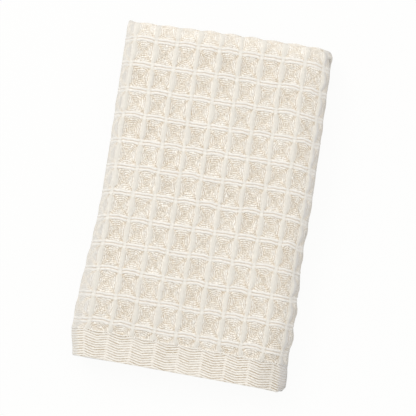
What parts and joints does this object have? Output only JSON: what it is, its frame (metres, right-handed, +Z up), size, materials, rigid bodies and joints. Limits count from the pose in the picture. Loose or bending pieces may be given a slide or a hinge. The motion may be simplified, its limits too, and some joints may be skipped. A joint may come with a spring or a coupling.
{
  "type": "waffle washcloth",
  "caption": "Ivory waffle-weave cotton washcloth with flat woven hems, folded in thirds and then in half, lying flat.",
  "frame": {"origin": "middle of the folded cloth's footprint, on the surface that it rests on", "axes": "+X across the folded cloth, +Y towards its far fold (the hems are at -Y), +Z up"},
  "size_m": [0.107, 0.1712, 0.0151],
  "materials": {
    "waffle_cotton": "matt, undyed cotton"
  },
  "bodies": {
    "root": {"washcloth": "waffle_cotton"}
  },
  "joints": []
}
